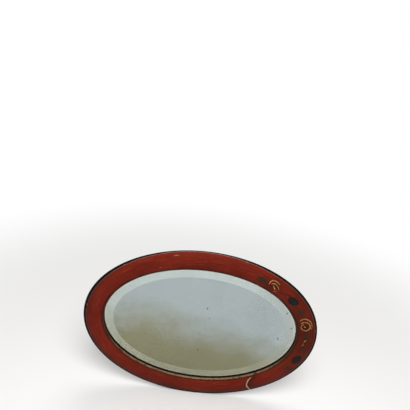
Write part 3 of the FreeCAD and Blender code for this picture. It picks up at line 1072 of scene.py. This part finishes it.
def lacquer_finish():
    """The frame's finish, laid out by the way along it and round its section."""
    finish, shader, place = new_finish("red_lacquer")
    tree = place.tree
    girth = surface_value(tree, "girth")
    along = wire(tree, "ShaderNodeCombineXYZ", 0, {0: surface_value(tree, "run"), 1: girth})
    brushed = streaks(along, (14, 620, 1), 4, 0.6)
    wander = streaks(along, (90, 160, 1), 5, 0.65)
    edge = girth + (wander - 0.5) * (2.2 * MM)
    cloud, specks = use_group(PATINA, place, 11, 520)
    colour = lacquer_red(cloud, specks, brushed, wander)
    colour, dark = outer_edge(colour, edge, wander)
    bare = between(surface_value(tree, "knock") + wander * 0.5, 0.72, 0.86)
    colour = blend(bare, colour, ARRIS_PALE)
    colour, leafed = gilt_slope(colour, edge, wander)
    colour, behind = bare_back(colour, girth, place)
    colour, flaked = joint_marks(colour, girth, wander, behind)
    rough = between(most(bare, flaked, behind, dark), 0, 1, cloud * 0.16 + 0.46, 0.85)
    coat(shader, colour, rough, leafed * 0.4, 0.11)
    raise_bump(shader, brushed * 0.25 + wander * 0.35 - most(bare, flaked) * 1.6, 0.45, 0.6)
    return finish


def paint_finish(name, main, deep, metallic, roughness):
    """Hand-laid paint with uneven cover."""
    finish, shader, place = new_finish(name)
    cloud, specks = use_group(PATINA, place, 120, 900)
    colour = layered(main, (cloud, deep), (specks * 0.5, EDGE_DARK))
    coat(shader, colour, cloud * 0.15 + roughness, metallic, 0.12)
    raise_bump(shader, noise(place, 1400, 3), 0.3, 0.2)
    return finish


def wood_finish(name, pale, dark, scale):
    """Bare aged wood."""
    finish, shader, place = new_finish(name)
    grain, pores = use_group(GRAIN, place, scale)
    cloud, specks = use_group(PATINA, place, 6, 260)
    colour = layered(dark, (grain, pale), (cloud * 0.45, dark), (pores * 0.6, RAW_WOOD_DARK),
                     (specks * 0.4, EDGE_DARK))
    coat(shader, colour, between(grain, 0, 1, 0.62, 0.8), specular=0.3)
    raise_bump(shader, grain - pores, 0.35, 0.4)
    return finish


def paper_finish():
    finish, shader, place = new_finish("brown_paper")
    cloud, specks = use_group(PATINA, place, 9, 500)
    colour = layered(PAPER, (cloud, PAPER_DARK), (specks * 0.5, RAW_WOOD_DARK))
    coat(shader, colour, 0.9)
    raise_bump(shader, noise(place, 700), 0.2, 0.2)
    return finish


def metal_finish(name, bright, dull, roughness):
    """Old hardware: bright on top, dull and spotted where it has tarnished."""
    finish, shader, place = new_finish(name)
    cloud, specks = use_group(PATINA, place, 190, 1500)
    scratch = streaks(place, (3000, 3000, 300), 2)
    colour = layered(bright, (cloud, dull), (specks * 0.6, EDGE_DARK))
    coat(shader, colour, cloud * 0.2 + scratch * 0.12 + roughness, metallic=1)
    raise_bump(shader, scratch, 0.15, 0.1)
    return finish


def glass_finish():
    """Clear, faintly smeared plate glass; the silver behind it gives the whole reflection."""
    finish, shader, place = new_finish("plate_glass")
    smear = streaks(place, (9, 9, 4), 5, 0.6)
    colour = blend(between(smear, 0.35, 0.75), GLASS_CLEAR, GLASS_HAZE)
    feed_all(shader, {"Base Color": colour, "Roughness": 0, "Transmission Weight": 1, "IOR": 1.5,
                      "Specular Tint": BLACK})
    return finish


def oval_reach(x, z, inset):
    """How far out a place lies: 1 on the oval at that inset, more outside it."""
    wide = calc("DIVIDE", x, (HALF_LENGTH - inset) * MM)
    tall = calc("DIVIDE", z, (HALF_HEIGHT - inset) * MM)
    return calc("POWER", wide, 2) + calc("POWER", tall, 2)


def silver_finish():
    """Old silvering, finely specked, with a painted reflection: darker and warmer towards the foot, brighter
    behind the bevel and in a ring along the sight edge.
    """
    finish, shader, place = new_finish("old_silver")
    cloud, specks = use_group(PATINA, place, 5, 330)
    x, y, z = wires(add_node(place.tree, "ShaderNodeSeparateXYZ", {0: place}))
    height = z + (cloud - 0.5) * 0.06
    lean = most(x, -0.1) * 0.22
    # painted reflection: the silver darker and warmer towards the foot
    foot = between(height + lean, -0.1, 0.06, 1, 0)
    # painted reflection: the silver behind the bevel paler and cooler above, warmer below, dimmer to the
    # right
    bevelled = blend(between(height - lean, -0.14, 0.16, 1, 0), BEVEL_REFLECTED_TOP, BEVEL_REFLECTED_FOOT)
    bevel = between(oval_reach(x, z, GLASS_INSET + BEVEL_WIDTH), 0.98, 1)
    bevel = bevel * between(x, 0.08, 0.26, 0.85, 0.45)
    # painted highlight: a pale ring in the silver just inside the sight edge
    rim = between(oval_reach(x, z, MOULDING_WIDTH + RIM_GLOW), 0.95, 1.03)
    colour = layered(SILVER_COOL, (foot, SILVER_REFLECTED_FOOT), (bevel, bevelled), (rim * 0.4, SILVER_RIM_HIGHLIGHT),
                     (specks * 0.25, TARNISH))
    coat(shader, colour, between(specks, 0, 1, 0, 0.25), metallic=1)
    return finish


def tarnish_finish():
    """Grey-black flakes where the silver has lifted."""
    finish, shader, place = new_finish("silver_tarnish")
    cover = between(noise(place, 900, 4, 0.6), 0.35, 0.65)
    coat(shader, blend(cover, TARNISH_DEEP, TARNISH), 0.6, metallic=0.3)
    return finish


def build_frame():
    """The four dressed lengths of the moulding."""
    finish = lacquer_finish()
    for node, first, last, cracked in FRAME_LENGTHS:
        piece = moulding_length(node + "_dressed", first, last, cracked)
        wrap(piece, finish, FRAME_SHARP)
        keep(piece, "frame_wood", node)


def build_sprays():
    """The painted scrolls, blossoms and leaves at the right end."""
    sprays = (
        ("painted_scrolls", gold_strokes(), "gold_paint", GOLD_PAINT, GOLD_PAINT_DEEP, 0.25, 0.38),
        ("painted_leaves", leaf_strokes(), "leaf_paint", LEAF_UMBER, LEAF_GREEN, 0, 0.45),
        ("painted_petals", petal_strokes(), "blossom_shade", BLOSSOM_BLACK, BLOSSOM_BROWN, 0, 0.5),
        ("painted_hearts", heart_strokes(), "blossom_paint", BLOSSOM_BLUE, BLOSSOM_BLACK, 0, 0.42))
    for name, strokes, *paint in sprays:
        piece = flat_object(name, *join_strokes(strokes))
        wrap(piece, paint_finish(*paint), STROKE_SHARP)
        keep(piece, "frame_wood")


def build_plate():
    """The bevelled glass and its silver."""
    arris_run, arris_drop = GLASS_ARRIS
    rim = [(GLASS_INSET, GLASS_BACK), (GLASS_INSET, GLASS_RIM - arris_drop),
           (GLASS_INSET + arris_run, GLASS_RIM),
           (GLASS_INSET + BEVEL_WIDTH / 2, (GLASS_RIM + GLASS_FRONT) / 2),
           (GLASS_INSET + BEVEL_WIDTH, GLASS_FRONT)]
    keep(oval_plate("bevelled_glass", rim, glass_finish()), "plate_glass", "mirror_glass")
    leaf = [(GLASS_INSET, SILVER_BACK), (GLASS_INSET, SILVER_FRONT)]
    keep(oval_plate("silver_leaf", leaf, silver_finish()), "silver", "silvering")


def flake_object():
    """One small ragged flake, up to a millimetre each way from its middle."""
    count = len(FLAKE_OUTLINE)
    points = []
    for depth in (-FLAKE_HALF, FLAKE_HALF):
        for k, reach in enumerate(FLAKE_OUTLINE):
            angle = 2 * math.pi * k / count
            rise = reach * math.sin(angle) * FLAKE_FLATNESS
            points.append(Vector((reach * math.cos(angle), depth, rise)) * MM)
    return flat_object("flake", points, closed_faces(2, count))


def build_flakes():
    """Flakes in the silver: a few large ones, and small ones strewn near the rim."""
    small = []
    for k in range(RIM_SPECKS):
        share = (k * GOLDEN_SHARE) % 1
        small.append(flat_place(k * GOLDEN_TURN, MOULDING_WIDTH + SPECK_START + SPECK_REACH * share ** 2))
    finish = tarnish_finish()
    flake = flake_object()
    flake.data.materials.append(finish)
    groups = (("silver_flakes", FLAKE_PLACES, 3.0, 5.6, 3), ("rim_specks", small, 0.4, 1.1, 8))
    for name, places, least, largest, seed in groups:
        points = [Vector((x, -(FRAME_BACK + SILVER_FRONT), z)) * MM for x, z in places]
        piece = flat_object(name, points, [])
        apply_tree(piece, SPOTS, flake, least, largest, seed, finish)
        smooth_outside(piece, FLAKE_SHARP)
        keep(piece, "silver")
    bpy.data.objects.remove(flake)


def dress_hidden_and_back():
    """Finishes for the pieces that keep their own solids, by their material slots."""
    finishes = {
        "bare_wood": wood_finish("raw_softwood", RAW_WOOD, RAW_WOOD_DARK, 14),
        "board_wood": wood_finish("back_board", BOARD_PALE, BOARD_DARK, 7),
        "hanger_brass": metal_finish("old_brass", BRASS, BRASS_DULL, 0.28),
        "screw_steel": metal_finish("dull_steel", STEEL, STEEL_DULL, 0.34),
        "paper": paper_finish()}
    for row in frame["record"]["subparts"]:
        if row["material_slot"] in finishes:
            for slot in frame["nodes"][row["node"]].material_slots:
                slot.material = finishes[row["material_slot"]]


def seen_ray(tree):
    """1 where a ray shows the background itself: straight, mirrored or through glass."""
    rays = ("Is Camera Ray", "Is Glossy Ray", "Is Transmission Ray")
    return most(*(wire(tree, "ShaderNodeLightPath", ray) for ray in rays))


def floor_finish():
    """Pale paper that takes the shadow near the mirror and turns to plain white further off."""
    finish, shader, place = new_finish("floor_paper")
    tree = place.tree
    seen = seen_ray(tree)
    coat(shader, blend(seen, FLOOR_BOUNCE, FLOOR_PALE), 0.95, specular=0.1)
    away = wire(tree, "ShaderNodeVectorMath", "Value", {0: place}, operation="LENGTH")
    white = wire(tree, "ShaderNodeEmission", 0)
    shares = {0: between(away, FADE_START, FADE_END) * seen, 1: Wire(tree, shader.outputs[0]), 2: white}
    feed(wire(tree, "ShaderNodeMixShader", 0, shares), tree.nodes["Material Output"].inputs["Surface"])
    return finish


def build_stage():
    """A pale floor that fades into a pale surround."""
    turns = [2 * math.pi * k / FLOOR_SIDES for k in range(FLOOR_SIDES)]
    rim = [(-FLOOR_RADIUS * math.sin(turn), FLOOR_RADIUS * math.cos(turn), 0) for turn in turns]
    floor = flat_object("floor", rim, [tuple(range(FLOOR_SIDES))])
    floor.location.z = FLOOR_LEVEL - FLOOR_GAP
    floor.data.materials.append(floor_finish())
    world = bpy.data.worlds.new("surround")
    world.use_nodes = True
    bpy.context.scene.world = world
    tree = world.node_tree
    strength = between(seen_ray(tree), 0, 1, WORLD_STRENGTH, 1)
    feed_all(tree.nodes["Background"], {"Color": WHITE, "Strength": strength})


def soft_lamp(name, place, aim, size, power, colour):
    data = bpy.data.lights.new(name, "AREA")
    data.shape = "DISK"
    data.size = size
    data.energy = power
    data.color = colour
    lamp = add_object(name, data)
    lamp.location = place
    lamp.rotation_euler = (Vector(aim) - Vector(place)).to_track_quat("-Z", "Y").to_euler()


def build_camera():
    data = bpy.data.cameras.new("photo_camera")
    data.lens = CAMERA_LENS
    data.sensor_width = 36
    camera = add_object("photo_camera", data)
    forward = CAMERA_FORWARD.normalized()
    right = forward.cross(CAMERA_UP).normalized()
    up = right.cross(forward)
    turn = Matrix((right, up, -forward)).transposed().to_4x4()
    camera.matrix_world = Matrix.Translation(CAMERA_PLACE) @ turn
    bpy.context.scene.camera = camera


bpy.context.scene.view_settings.view_transform = "Standard"
build_camera()
build_stage()
for lamp_name, lamp_values in LAMPS.items():
    soft_lamp(lamp_name, *lamp_values)
build_frame()
build_sprays()
build_plate()
build_flakes()
dress_hidden_and_back()
